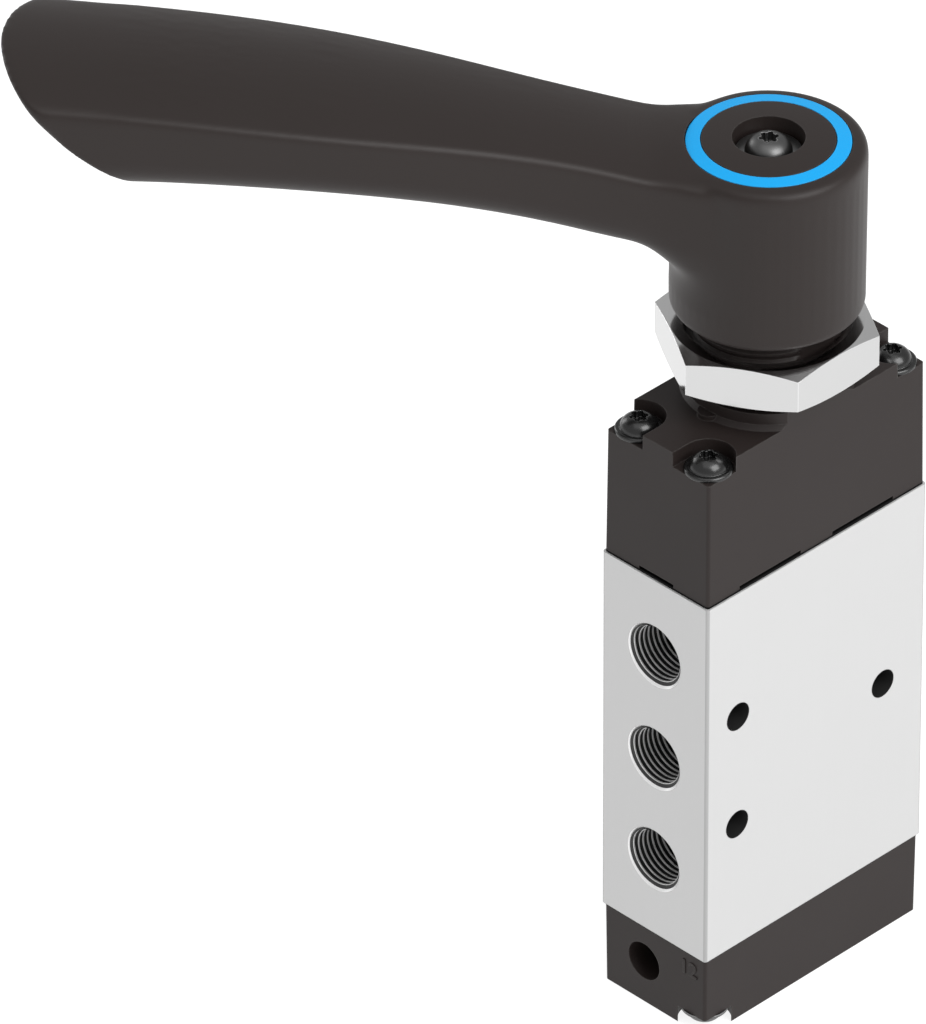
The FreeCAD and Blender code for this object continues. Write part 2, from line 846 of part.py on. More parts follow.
def hub_blank():
    """Outside of the hub: drafted wall, domed top, rounded rims."""
    foot_radius = hub_radius - hub_draft_slope * hub_height
    rim = hub_radius - hub_top_round
    rim_height = dome_height(rim)
    diagonal = math.sqrt(0.5)
    wall_top = Vector(hub_radius, 0, rim_height - hub_top_round)
    rim_top = Vector(rim, 0, rim_height)
    rim_middle = Vector(rim + hub_top_round * diagonal, 0, rim_height - hub_top_round * (1 - diagonal))
    wall_foot = Vector(foot_radius, 0, hub_bottom + hub_bottom_round)
    foot_edge = Vector(foot_radius - hub_bottom_round, 0, hub_bottom)
    foot_middle = Vector(
        foot_radius - hub_bottom_round * (1 - diagonal), 0, hub_bottom + hub_bottom_round * (1 - diagonal)
    )
    top_centre = Vector(0, 0, hub_top)
    bottom_centre = Vector(0, 0, hub_bottom)
    outline = Part.Wire([
        dome_arc(0, rim),
        Part.Arc(rim_top, rim_middle, wall_top).toShape(),
        Part.LineSegment(wall_top, wall_foot).toShape(),
        Part.Arc(wall_foot, foot_middle, foot_edge).toShape(),
        Part.LineSegment(foot_edge, bottom_centre).toShape(),
        Part.LineSegment(bottom_centre, top_centre).toShape(),
    ])
    return Part.Face(outline).revolve(Vector(0, 0, 0), Vector(0, 0, 1), 360)


def blade_section(distance, half_width, rise, underside):
    """Cross-section of the blade: crowned top, upright sides, rounded bottom."""
    bottom = hub_top + underside
    inner_top = half_width - blade_top_round
    inner_bottom = half_width - blade_bottom_round
    round_centre = hub_top + rise - blade_top_round
    crown_reach = blade_crown_radius - blade_top_round
    crown_centre = round_centre - math.sqrt(crown_reach ** 2 - inner_top ** 2)
    edge_angle = math.asin(inner_top / crown_reach)
    middle_angle = (edge_angle + math.pi / 2) / 2
    bend = 1 - math.sqrt(0.5)

    def point(across, height):
        return Vector(distance, across, height)

    def line(start, end):
        return Part.LineSegment(start, end).toShape()

    top_corner = [
        (inner_top + blade_top_round * math.sin(angle), round_centre + blade_top_round * math.cos(angle))
        for angle in (edge_angle, middle_angle, math.pi / 2)
    ]
    bottom_corner = [
        (half_width, bottom + blade_bottom_round),
        (half_width - blade_bottom_round * bend, bottom + blade_bottom_round * bend),
        (inner_bottom, bottom),
    ]
    right_top = [point(across, height) for across, height in top_corner]
    right_bottom = [point(across, height) for across, height in bottom_corner]
    left_bottom = [point(-across, height) for across, height in reversed(bottom_corner)]
    left_top = [point(-across, height) for across, height in reversed(top_corner)]
    return Part.Wire([
        Part.Arc(left_top[2], point(0, crown_centre + blade_crown_radius), right_top[0]).toShape(),
        Part.Arc(*right_top).toShape(),
        line(right_top[2], right_bottom[0]),
        Part.Arc(*right_bottom).toShape(),
        line(right_bottom[2], left_bottom[0]),
        Part.Arc(*left_bottom).toShape(),
        line(left_bottom[2], left_top[0]),
        Part.Arc(*left_top).toShape(),
    ])


def tip_envelope():
    """Space that holds the blade's tip: an arc in plan, swept back underneath.

    The end face turns about an upright axis, so it also falls back towards the sides.
    """
    half_width = max(station[1] for station in blade_stations) + tip_side_gap
    arc_centre = tip_reach - tip_arc_radius
    corner_across = half_width - tip_corner_radius
    reach = tip_arc_radius - tip_corner_radius
    corner_along = math.sqrt(reach ** 2 - corner_across ** 2)
    corner_x = arc_centre + corner_along
    floor = hub_top - hub_height
    ceiling = hub_top + 2 * tip_top_rise
    bend_angle = (math.pi / 2 + math.atan2(corner_across, corner_along)) / 2

    def corner_points(side):
        arc_end = tip_arc_radius / reach
        return [
            Vector(corner_x, side * half_width, floor),
            Vector(
                corner_x + tip_corner_radius * math.cos(bend_angle),
                side * (corner_across + tip_corner_radius * math.sin(bend_angle)),
                floor,
            ),
            Vector(arc_centre + corner_along * arc_end, side * corner_across * arc_end, floor),
        ]

    left = corner_points(-1)
    right = corner_points(1)
    start_left = Vector(0, -half_width, floor)
    start_right = Vector(0, half_width, floor)
    plan = Part.Wire([
        Part.LineSegment(start_left, left[0]).toShape(),
        Part.Arc(*left).toShape(),
        Part.Arc(left[2], Vector(tip_reach, 0, floor), right[2]).toShape(),
        Part.Arc(*reversed(right)).toShape(),
        Part.LineSegment(right[0], start_right).toShape(),
        Part.LineSegment(start_right, start_left).toShape(),
    ])
    envelope = Part.Face(plan).extrude(Vector(0, 0, ceiling - floor))
    top_height = hub_top + tip_top_rise
    top_point = Vector(tip_reach, 0, top_height)
    low_point = Vector(tip_reach - tip_sweep_back, 0, top_height - tip_end_height)
    middle = (top_point + low_point) * 0.5
    slant = math.hypot(tip_sweep_back, tip_end_height)
    bulge = Vector(tip_end_height / slant, 0, -tip_sweep_back / slant) * tip_bow
    outside = Vector(2 * tip_reach, 0, top_height)
    below = Vector(low_point.x, 0, floor)
    corner = Vector(outside.x, 0, floor)
    end_profile = Part.Face(Part.Wire([
        Part.Arc(top_point, middle + bulge, low_point).toShape(),
        Part.LineSegment(low_point, below).toShape(),
        Part.LineSegment(below, corner).toShape(),
        Part.LineSegment(corner, outside).toShape(),
        Part.LineSegment(outside, top_point).toShape(),
    ]))
    turning_centre = Vector(tip_reach - tip_sweep_radius, 0, floor)
    upright = Vector(0, 0, 1)
    end_profile.rotate(turning_centre, upright, -tip_sweep_angle / 2)
    swept_away = end_profile.revolve(turning_centre, upright, tip_sweep_angle)
    return envelope.cut(swept_away)


def lever_blade():
    sections = [blade_section(*station) for station in blade_stations]
    blade = Part.makeLoft(sections, True, False)
    return blade.common(tip_envelope())


def blade_root_edges(shape):
    """Edges where the blade's sides and underside leave the hub's wall."""
    wall_top = hub_top - hub_top_round
    return [
        edge
        for edge in shape.Edges
        if edge.BoundBox.XMin > 0
        and edge.BoundBox.XMax < hub_radius
        and edge.BoundBox.ZMax < wall_top
        and edge.BoundBox.YLength > blade_root_round
    ]


def lever():
    shape = hub_blank().fuse(lever_blade())
    shape = shape.makeFillet(blade_root_round, blade_root_edges(shape))
    shape.rotate(Vector(0, 0, 0), Vector(0, 0, 1), blade_direction)
    core = tube(hub_core_radius, hub_boss_radius, hub_bottom, hub_bottom + hub_core_height)
    for index in range(4):
        rib = block(
            (0, -hub_rib_width / 2, hub_bottom),
            (hub_core_radius + overrun, hub_rib_width / 2, hub_bottom + hub_core_height),
        )
        rib.rotate(Vector(0, 0, 0), Vector(0, 0, 1), blade_direction + 90 * index)
        core = core.cut(rib)
    shape = shape.cut(core)
    shape = shape.cut(cylinder(shaft_radius + hole_clearance, hub_bottom, shaft_shoulder))
    shape = shape.cut(square_drive(shaft_square + 2 * hub_fit, shaft_shoulder, shaft_top + hole_clearance))
    shape = shape.cut(cylinder(lever_screw_radius + hole_clearance, shaft_top, recess_floor))
    shape = shape.cut(cylinder(recess_radius, recess_floor, hub_top + overrun))
    outer = ring_outer_radius + ring_clearance
    inner = ring_inner_radius - ring_clearance
    return shape.cut(tube(outer, inner, dome_height(ring_outer_radius) - ring_depth, hub_top + overrun))


def indicator_ring():
    """Coloured ring let into the hub's top, its face following the dome."""
    floor = dome_height(ring_outer_radius) - ring_depth
    inner_top = Vector(ring_inner_radius, 0, dome_height(ring_inner_radius))
    outer_top = Vector(ring_outer_radius, 0, dome_height(ring_outer_radius))
    outer_floor = Vector(ring_outer_radius, 0, floor)
    inner_floor = Vector(ring_inner_radius, 0, floor)
    outline = Part.Wire([
        dome_arc(ring_inner_radius, ring_outer_radius),
        Part.LineSegment(outer_top, outer_floor).toShape(),
        Part.LineSegment(outer_floor, inner_floor).toShape(),
        Part.LineSegment(inner_floor, inner_top).toShape(),
    ])
    return Part.Face(outline).revolve(Vector(0, 0, 0), Vector(0, 0, 1), 360)


def lever_washer():
    return tube(
        lever_washer_radius,
        lever_screw_radius + hole_clearance,
        recess_floor,
        recess_floor + lever_washer_thickness,
    )


def lever_screw():
    seat = recess_floor + lever_washer_thickness
    head = button_head(lever_screw_head_radius, lever_screw_head_height, seat)
    head = head.cut(lobed_socket(lever_socket_radius, lever_socket_depth, seat + lever_screw_head_height))
    return head.fuse(cylinder(lever_screw_radius, seat - lever_screw_length, seat))


parts = {
    "valve_body": valve_body(),
    "top_cover": top_cover(),
    "end_cap": end_cap(),
    "cover_gasket": gasket(body_top, corner_screw_places),
    "end_gasket": gasket(end_cap_height, end_screw_places),
    "cover_screws": corner_screw_set(
        corner_screw_places, cover_shelf, 1, cover_shelf - body_top + corner_screw_grip
    ),
    "end_screws": corner_screw_set(
        end_screw_places, end_pocket_depth, -1, body_bottom - end_pocket_depth + corner_screw_grip
    ),
    "panel_nut": panel_nut(),
    "spool": spool(),
    "lower_guide_bush": guide_bush(-1),
    "upper_guide_bush": guide_bush(1),
    "bush_o_rings": bush_o_rings(),
    "return_spring": return_spring(),
    "cam_follower": cam_follower(),
    "cam_shaft": cam_shaft(),
    "thrust_washer": thrust_washer(),
    "shaft_o_ring": shaft_o_ring(),
    "detent_balls": detent_balls(),
    "detent_springs": detent_springs(),
    "lever": lever(),
    "indicator_ring": indicator_ring(),
    "lever_washer": lever_washer(),
    "lever_screw": lever_screw(),
}
for number, height in enumerate(seal_heights, start=1):
    parts["seal_ring_%d" % number] = seal_ring(height)
for number, height in enumerate(cage_heights, start=1):
    parts["port_cage_%d" % number] = port_cage(height)

os.makedirs("parts", exist_ok=True)
for name, shape in parts.items():
    shape.exportStep("parts/%s.step" % name)
    print(name, shape.isValid(), len(shape.Solids), round(shape.Volume, 1))
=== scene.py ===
import math

import bmesh
import bpy
import numpy as np
from mathutils import Matrix, Vector


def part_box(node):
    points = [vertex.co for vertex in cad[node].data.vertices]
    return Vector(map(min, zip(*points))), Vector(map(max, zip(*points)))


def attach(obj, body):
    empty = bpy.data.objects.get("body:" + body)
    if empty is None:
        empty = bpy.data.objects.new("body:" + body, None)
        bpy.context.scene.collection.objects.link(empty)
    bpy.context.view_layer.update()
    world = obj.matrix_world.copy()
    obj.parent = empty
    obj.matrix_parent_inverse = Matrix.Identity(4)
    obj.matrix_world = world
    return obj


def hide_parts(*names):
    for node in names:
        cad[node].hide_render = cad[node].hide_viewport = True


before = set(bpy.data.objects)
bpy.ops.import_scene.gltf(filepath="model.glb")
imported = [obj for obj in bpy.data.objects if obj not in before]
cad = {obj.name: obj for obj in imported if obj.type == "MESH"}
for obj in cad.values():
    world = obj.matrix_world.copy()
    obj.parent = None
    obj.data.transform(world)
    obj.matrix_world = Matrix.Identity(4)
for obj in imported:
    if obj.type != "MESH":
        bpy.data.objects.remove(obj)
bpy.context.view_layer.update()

# Lengths are in metres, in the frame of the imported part: +Z is up, -Y is the
# face with three ports, and the broad faces look along +X and -X.
MM = 0.001

# Camera: the photograph's long lens, a little off the true isometric direction
camera_place = Vector((1129.46, -1169.65, 1230.44)) * MM
camera_target = Vector((-56.14, -5.01, 51.13)) * MM
camera_roll = math.radians(-0.2957)
camera_lens = 493.04
camera_sensor = 36.0
camera_clip = (0.1, 20.0)

# Ports: bores at the major radius of a G1/8 thread, whose ends stay this far from the body's middle plane
port_major_radius = 4.864 * MM
port_minor_radius = 4.30 * MM
port_chamfer_radius = 5.2 * MM
port_inner_limit = 12.0 * MM
port_pitch = 18.0 * MM
port_thread_pitch = 0.907 * MM
port_thread_start = 0.30 * MM
port_thread_length = 7.5 * MM
port_thread_phase = math.radians(100.0)
port_thread_sink = 0.03 * MM
port_thread_steps = 96

# Ridge of a thread: the points of its section, half its width at root and crest
# as shares of the pitch, the share of its height that it begins with, and the
# share of the leading flank, from the root up, after which it gets a painted highlight
ridge_points = 5
ridge_half_root = 0.42
ridge_half_crest = 0.13
ridge_first_height = 0.04
painted_highlight_start = 0.86

# Through holes, whose walls get painted shade: a little over their own radius, and their places from the
# body's front, back and middle
hole_radius = 2.35 * MM
front_hole_inset = 6.3 * MM
back_hole_inset = 8.45 * MM
hole_pitch = 19.0 * MM

# Rounding of the body's upright edges, along which faces get painted shade
edge_reach = 0.55 * MM

# How far a face's normal leans toward the way it is tested against, for walls, chamfers and rounded edges
wall_lean = 0.5
chamfer_lean = 0.9
edge_lean = 0.1

# Collar: 21 mm thread over the stem, which stands at the pitch radius and has two flats
collar_crest_radius = 10.92 * MM
collar_root_radius = 10.45 * MM
collar_height = 14.0 * MM
collar_boss_height = 2.5 * MM
collar_flat_inset = 0.2 * MM
collar_thread_pitch = 1.5 * MM
collar_thread_margin = 0.6 * MM
collar_thread_steps = 144
flat_crest_gap = 0.05 * MM
flat_root_gap = 0.2 * MM

# Light: a soft dome, a glowing floor, and lamps given as name, place, width, height and power
sky_strength = 0.55
floor_glow = 0.86
lamp_target = (0.0, 0.0, 0.07)
lamps = (
    ("key_light", (1.3, 0.1, 1.2), 1.2, 1.2, 24.5),
    ("top_light", (0.3, -0.3, 1.5), 1.4, 1.4, 4.5),
    ("rim_light", (-1.4, -0.1, 0.45), 0.5, 0.8, 4.0),
)

# Floor: half its width, how far it lies under the valve, and the range of its roughness
floor_half = 4.0
floor_drop = 0.05 * MM
floor_roughness = (0.75, 0.85)

# Points nearer than this become one, in turned solids and in the lever's own solid
turned_merge = 1e-7
lever_merge = 1e-6

# Lever: its direction, its even mesh, and what is filled before smoothing and cut crisp again after it
lever_direction = math.radians(225.0)
lever_voxel = 0.30 * MM
hub_dome_radius = 85.0 * MM
plug_radius = 12.6 * MM
plug_depth = 8.0 * MM
plug_arc_steps = 12
plug_steps = 128
recess_radius = 5.15 * MM
recess_steps = 96
ring_inner_radius = 9.6 * MM
groove_gap = 0.12 * MM
groove_steps = 192
tool_overrun = 3 * MM

# Spans over which the lever's smoothing sets in: hub_skin is a radius, the
# starts and ends lie along the lever, and feet and heads are heights from
# the hub's foot, from the tip's underside or, below zero, from the hub's top
hub_skin = (11.9 * MM, 12.6 * MM)
root_start = (4.0 * MM, 8.0 * MM)
root_end = (17.0 * MM, 26.0 * MM)
flank_foot = (11.0 * MM, 15.0 * MM)
flank_head = (-6.0 * MM, -3.0 * MM)
corner_foot = (4.0 * MM, 7.0 * MM)
corner_head = (12.0 * MM, 16.0 * MM)
shoulder_end = (12.0 * MM, 18.0 * MM)
crown_end = (4.0 * MM, 10.0 * MM)
crown_head = (-4.5 * MM, -2.5 * MM)
rim_start = (88.0 * MM, 94.0 * MM)
rim_foot = (3.0 * MM, 7.0 * MM)
tip_start = 96.0 * MM

# Rounds of smoothing for each of them, and the two steps of a round that doesn't shrink
settle_rounds = 8
flank_rounds = 140
corner_rounds = 220
shoulder_rounds = 22
crown_rounds = 16
rim_rounds = 26
settle_inwards = 1.20
settle_outwards = 1.26
settle_least = 0.2

# Angles, in degrees, above which an edge stays sharp
thread_sharp_angle = 35
lever_sharp_angle = 32

# Port number on the end cap's front face; the font's size is given over its figures' height
digit_height = 2.55 * MM
digit_font_size = 1.38
digit_relief = 0.16 * MM
digit_sunk_share = 0.3
digit_weight = 0.05 * MM
digit_curve_steps = 6
digit_place_across = 6.85 * MM
digit_place_height = 9.65 * MM

# Edge wear and painted edge shading: how flat and how bent the rounded normal shows an edge, and the noise
# levels that break it up
wear_flat = 0.995
wear_bent = 0.86
wear_patch_start = 0.30
wear_patch_end = 0.55
polymer_wear = 0.5
metal_edge_wear_and_shading = 0.6

# How far roughness swings to either side of its middle, and how strong the fine relief is
roughness_swing = 0.05
polymer_relief_strength = 0.35
metal_relief_strength = 0.3


def link(obj):
    bpy.context.scene.collection.objects.link(obj)
    return obj


def mesh_object(name, vertices, faces):
    """New object from points and faces, with its normals turned outwards."""
    mesh = bpy.data.meshes.new(name)
    mesh.from_pydata([tuple(point) for point in vertices], [], faces)
    shell = bmesh.new()
    shell.from_mesh(mesh)
    bmesh.ops.recalc_face_normals(shell, faces=shell.faces)
    shell.to_mesh(mesh)
    shell.free()
    return link(bpy.data.objects.new(name, mesh))


def smooth_shade(obj, angle):
    """Smooth shading that keeps edges sharper than the angle, in degrees."""
    for face in obj.data.polygons:
        face.use_smooth = True
    obj.data.set_sharp_from_angle(angle=math.radians(angle))


def finished_mesh(obj):
    """The object's mesh with its modifiers applied, as a mesh of its own."""
    bpy.context.view_layer.update()
    graph = bpy.context.evaluated_depsgraph_get()
    return bpy.data.meshes.new_from_object(obj.evaluated_get(graph))


def apply_modifiers(obj):
    mesh = finished_mesh(obj)
    obj.modifiers.clear()
    obj.data = mesh
    return obj


def turned_solid(name, outline, steps):
    """Closed solid turned about Z from (radius, height) points."""
    vertices = []
    for step in range(steps):
        turn = 2 * math.pi * step / steps
        for radius, height in outline:
            vertices.append((radius * math.cos(turn), radius * math.sin(turn), height))
    count = len(outline)
    faces = []
    for step in range(steps):
        here = step * count
        after = (step + 1) % steps * count
        for index in range(count):
            following = (index + 1) % count
            faces.append((here + index, here + following, after + following, after + index))
    solid = mesh_object(name, vertices, faces)
    shell = bmesh.new()
    shell.from_mesh(solid.data)
    bmesh.ops.remove_doubles(shell, verts=shell.verts, dist=turned_merge)
    bmesh.ops.dissolve_degenerate(shell, edges=shell.edges, dist=turned_merge)
    bmesh.ops.recalc_face_normals(shell, faces=shell.faces)
    shell.to_mesh(solid.data)
    shell.free()
    return solid


# Screw threads

def helical_ridge(name, root_radius, crest_radius, pitch, start, length, steps_per_turn, limit=None):
    """Ridge of a screw thread round Z, fading out over its first and last quarter turn.

    limit, where given, is the distance of two flats from the axis along X.
    After its two ends the ridge has five faces to each step, the second and
    third of which are the upper part of the leading flank and the crest.
    """
    half_root = pitch * ridge_half_root
    half_crest = pitch * ridge_half_crest
    turns = length / pitch
    steps = int(turns * steps_per_turn)
    quarter = steps_per_turn // 4
    vertices = []
    for step in range(steps + 1):
        turn = 2 * math.pi * step / steps_per_turn
        height = start + pitch * step / steps_per_turn
        share = min(1.0, step / quarter, (steps - step) / quarter)
        grown = ridge_first_height + (1 - ridge_first_height) * share
        crest = root_radius + (crest_radius - root_radius) * grown
        root = root_radius
        if limit:
            reach = (limit - flat_crest_gap) / max(abs(math.cos(turn)), 1e-6)
            crest = min(crest, reach)
            root = min(root, reach - flat_root_gap)
        flank = (root + (crest - root) * painted_highlight_start, -half_root + (half_root - half_crest) * painted_highlight_start)
        section = ((root, -half_root), flank, (crest, -half_crest), (crest, half_crest), (root, half_root))
        for radius, rise in section:
            vertices.append((radius * math.cos(turn), radius * math.sin(turn), height + rise))
    last = ridge_points * steps
    faces = [tuple(range(ridge_points)), tuple(last + index for index in reversed(range(ridge_points)))]
    for step in range(steps):
        here = ridge_points * step
        after = here + ridge_points
        for index in range(ridge_points):
            following = (index + 1) % ridge_points
            faces.append((here + index, here + following, after + following, after + index))
    ridge = mesh_object(name, vertices, faces)
    smooth_shade(ridge, thread_sharp_angle)
    return ridge


def port_threads():
    """Thread ridges in the three front ports and the two back ports."""
    low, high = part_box("valve_body")
    middle = (low.z + high.z) / 2
    places = [(-1, step * port_pitch) for step in (-1, 0, 1)]
    places += [(1, step * port_pitch / 2) for step in (-1, 1)]
    phase = Matrix.Rotation(port_thread_phase, 3, "Z")
    ridges = []
    for number, (side, rise) in enumerate(places, start=1):
        ridge = helical_ridge(
            "port_thread_%d" % number,
            port_major_radius + port_thread_sink,
            port_minor_radius,
            port_thread_pitch,
            port_thread_start,
            port_thread_length,
            port_thread_steps,
        )
        for vertex in ridge.data.vertices:
            x, y, depth = phase @ vertex.co
            vertex.co = (x * -side, side * (high.y - depth), middle + rise + y)
        ridges.append(ridge)
    return ridges


def collar_thread():
    """Thread on the collar, above its boss, cut off at the collar's two flats."""
    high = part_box("top_cover")[1]
    boss_top = high.z - collar_height + collar_boss_height
    start = boss_top + collar_thread_margin
    return helical_ridge(
        "collar_thread",
        collar_root_radius,
        collar_crest_radius,
        collar_thread_pitch,
        start,
        high.z - collar_thread_margin - start,
        collar_thread_steps,
        limit=high.x - collar_flat_inset,
    )


# Lever moulding

def dome_height(radius, top):
    return top - hub_dome_radius + math.sqrt(hub_dome_radius ** 2 - radius ** 2)


def hub_plug(top):
    """Solid that fills the recess and the ring's groove while the lever is smoothed."""
    outline = []
    for step in range(plug_arc_steps + 1):
        radius = plug_radius * step / plug_arc_steps
        outline.append((radius, dome_height(radius, top)))
    outline += [(plug_radius, top - plug_depth), (0.0, top - plug_depth)]
    return turned_solid("hub_plug", outline, plug_steps)


def lever_shell(top):
    """The lever's skin on an even mesh, with its hub filled."""
    mesh = cad["lever"].data.copy()
    shell = bmesh.new()
    shell.from_mesh(mesh)
    bmesh.ops.remove_doubles(shell, verts=shell.verts, dist=lever_merge)
    plug = hub_plug(top)
    shell.from_mesh(plug.data)
    shell.to_mesh(mesh)
    shell.free()
    bpy.data.objects.remove(plug)
    piece = link(bpy.data.objects.new("lever_moulding", mesh))
    even = piece.modifiers.new("even_mesh", "REMESH")
    even.mode = "VOXEL"
    even.voxel_size = lever_voxel
    even.adaptivity = 0.0
    return apply_modifiers(piece)


def ramp(values, span, base=0.0):
    """0 before the span, counted from the base, 1 after it, and a smooth step between."""
    start = base + span[0]
    end = base + span[1]
    share = np.clip((values - start) / (end - start), 0.0, 1.0)
    return share * share * (3 - 2 * share)


def relax(points, edges, weight, rounds):
    """Move each point toward the middle of its neighbours, by its own weight."""
    count = np.zeros(len(points))
    np.add.at(count, edges[:, 0], 1.0)
    np.add.at(count, edges[:, 1], 1.0)
    pull = (weight * 0.5)[:, None]
    for _ in range(rounds):
        total = np.zeros_like(points)
        np.add.at(total, edges[:, 0], points[edges[:, 1]])
        np.add.at(total, edges[:, 1], points[edges[:, 0]])
        points = points + (total / count[:, None] - points) * pull
    return points


def settle(points, edges, weight, rounds):
    """Smooth without shrinking: each step inwards is followed by one a little longer outwards."""
    for _ in range(rounds):
        points = relax(points, edges, settle_inwards * weight, 1)
        points = relax(points, edges, -settle_outwards * weight, 1)
    return points


def smooth_lever(piece, top, bottom):
    """Blend the blade into the hub, round the tip's rim and take out the mesh's steps."""
    mesh = piece.data
    points = np.empty(len(mesh.vertices) * 3)
    mesh.vertices.foreach_get("co", points)
    points = points.reshape(-1, 3)
    edges = np.empty(len(mesh.edges) * 2, dtype=np.int64)
    mesh.edges.foreach_get("vertices", edges)
    edges = edges.reshape(-1, 2)
    along = points[:, 0] * math.cos(lever_direction) + points[:, 1] * math.sin(lever_direction)
    radius = np.hypot(points[:, 0], points[:, 1])
    height = points[:, 2]
    underside = points[along > tip_start, 2].min()
    outside = ramp(radius, hub_skin)
    points = settle(points, edges, settle_least + (1 - settle_least) * outside, settle_rounds)
    root = outside * ramp(along, root_start) * (1 - ramp(along, root_end))
    flank = root * ramp(height, flank_foot, bottom) * (1 - ramp(height, flank_head, top))
    points = relax(points, edges, flank, flank_rounds)
    corner = root * ramp(height, corner_foot, bottom) * (1 - ramp(height, corner_head, bottom))
    points = relax(points, edges, corner, corner_rounds)
    shoulder = root * ramp(height, flank_head, top) * (1 - ramp(along, shoulder_end))
    points = relax(points, edges, shoulder, shoulder_rounds)
    crown = outside * ramp(height, crown_head, top) * (1 - ramp(along, crown_end))
    points = relax(points, edges, crown, crown_rounds)
    rim = ramp(along, rim_start) * ramp(height, rim_foot, underside)
    points = relax(points, edges, rim, rim_rounds)
    mesh.vertices.foreach_set("co", points.reshape(-1))
    mesh.update()


def cut(piece, tool):
    """Take the tool's shape out of the piece."""
    boolean = piece.modifiers.new("cut", "BOOLEAN")
    boolean.operation = "DIFFERENCE"
    boolean.solver = "EXACT"
    boolean.object = tool
    apply_modifiers(piece)
    bpy.data.objects.remove(tool)


def lever_moulding():
    """The lever in one smooth moulding, in place of the solid with plain creases."""
    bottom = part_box("lever")[0].z
    recess_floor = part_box("lever_washer")[0].z
    ring_low, ring_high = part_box("indicator_ring")
    top = ring_high.z + hub_dome_radius - math.sqrt(hub_dome_radius ** 2 - ring_inner_radius ** 2)
    above = top + tool_overrun
    inner = ring_inner_radius - groove_gap
    outer = ring_high.x + groove_gap
    piece = lever_shell(top)
    smooth_lever(piece, top, bottom)
    recess = [(0.0, recess_floor), (recess_radius, recess_floor), (recess_radius, above), (0.0, above)]
    cut(piece, turned_solid("recess_tool", recess, recess_steps))
    groove = [(inner, ring_low.z), (outer, ring_low.z), (outer, above), (inner, above)]
    cut(piece, turned_solid("groove_tool", groove, groove_steps))
    smooth_shade(piece, lever_sharp_angle)
    return piece


# Port number

def port_number():
    """Raised figures on the end cap's front face, the port's generic function number."""
    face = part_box("end_cap")[0].y
    font = bpy.data.curves.new("port_number", "FONT")
    font.body = "12"
    font.size = digit_height * digit_font_size
    font.align_x = "CENTER"
    font.extrude = digit_relief
    font.offset = digit_weight
    font.resolution_u = digit_curve_steps
    text = link(bpy.data.objects.new("port_number", font))
    piece = link(bpy.data.objects.new("port_number_12", finished_mesh(text)))
    bpy.data.objects.remove(text)
    for vertex in piece.data.vertices:
        x, y, z = vertex.co
        depth = face - z + digit_sunk_share * digit_relief
        vertex.co = (digit_place_across + x, depth, digit_place_height + y)
    return piece


# Shader building

def node(tree, kind, **settings):
    """New node; a setting named after a socket fills it, any other is a property."""
    new = tree.nodes.new("ShaderNode" + kind)
    for key, value in settings.items():
        title = key.replace("_", " ")
        if title in new.inputs:
            new.inputs[title].default_value = value
        else:
            setattr(new, key, value)
    return new


def wire(tree, start, out, end, into):
    tree.links.new(start.outputs[out], end.inputs[into])


def shader_group(name, inputs, outputs):
    """Empty shader node group with named sockets, its input node and its output node."""
    group = bpy.data.node_groups.new(name, "ShaderNodeTree")
    for title, value in inputs.items():
        socket = group.interface.new_socket(name=title, in_out="INPUT", socket_type="NodeSocketFloat")
        socket.default_value = value
    for title, kind in outputs.items():
        group.interface.new_socket(name=title, in_out="OUTPUT", socket_type="NodeSocket" + kind)
    return group, group.nodes.new("NodeGroupInput"), group.nodes.new("NodeGroupOutput")


def edge_wear_and_shading_group():
    """Mask that is bright along edges, broken up by a fine noise."""
    group, given, result = shader_group(
        "edge_wear_and_shading", {"Radius": 0.3 * MM, "Patch Scale": 900.0, "Strength": 1.0}, {"Mask": "Float"}
    )
    place = node(group, "TexCoord")
    bevel = node(group, "Bevel", samples=4)
    wire(group, given, "Radius", bevel, "Radius")
    surface = node(group, "NewGeometry")
    facing = node(group, "VectorMath", operation="DOT_PRODUCT")
    wire(group, bevel, "Normal", facing, 0)
    wire(group, surface, "Normal", facing, 1)
    sharp = node(group, "MapRange")
    sharp.inputs["From Min"].default_value = wear_flat
    sharp.inputs["From Max"].default_value = wear_bent
    wire(group, facing, "Value", sharp, "Value")
    noise = node(group, "TexNoise", Detail=5.0, Roughness=0.62)
    wire(group, place, "Object", noise, "Vector")
    wire(group, given, "Patch Scale", noise, "Scale")
    patches = node(group, "MapRange")
    patches.inputs["From Min"].default_value = wear_patch_start
    patches.inputs["From Max"].default_value = wear_patch_end
    wire(group, noise, "Fac", patches, "Value")
    broken = node(group, "Math", operation="MULTIPLY")
    wire(group, sharp, "Result", broken, 0)
    wire(group, patches, "Result", broken, 1)
    scaled = node(group, "Math", operation="MULTIPLY")
    wire(group, broken, "Value", scaled, 0)
    wire(group, given, "Strength", scaled, 1)
    wire(group, scaled, "Value", result, "Mask")
    return group


def moulded_grain_group():
    """Fine spark-eroded mould texture: a height, and a slow cloud for colour."""
    group, given, result = shader_group(
        "moulded_grain", {"Grain Scale": 5200.0, "Cloud Scale": 60.0}, {"Height": "Float", "Cloud": "Float"}
    )
    place = node(group, "TexCoord")
    grain = node(group, "TexNoise", Detail=3.0, Roughness=0.55)
    wire(group, place, "Object", grain, "Vector")
    wire(group, given, "Grain Scale", grain, "Scale")
    cloud = node(group, "TexNoise", Detail=4.0, Roughness=0.5)
    wire(group, place, "Object", cloud, "Vector")
    wire(group, given, "Cloud Scale", cloud, "Scale")
    wire(group, grain, "Fac", result, "Height")
    wire(group, cloud, "Fac", result, "Cloud")
    return group


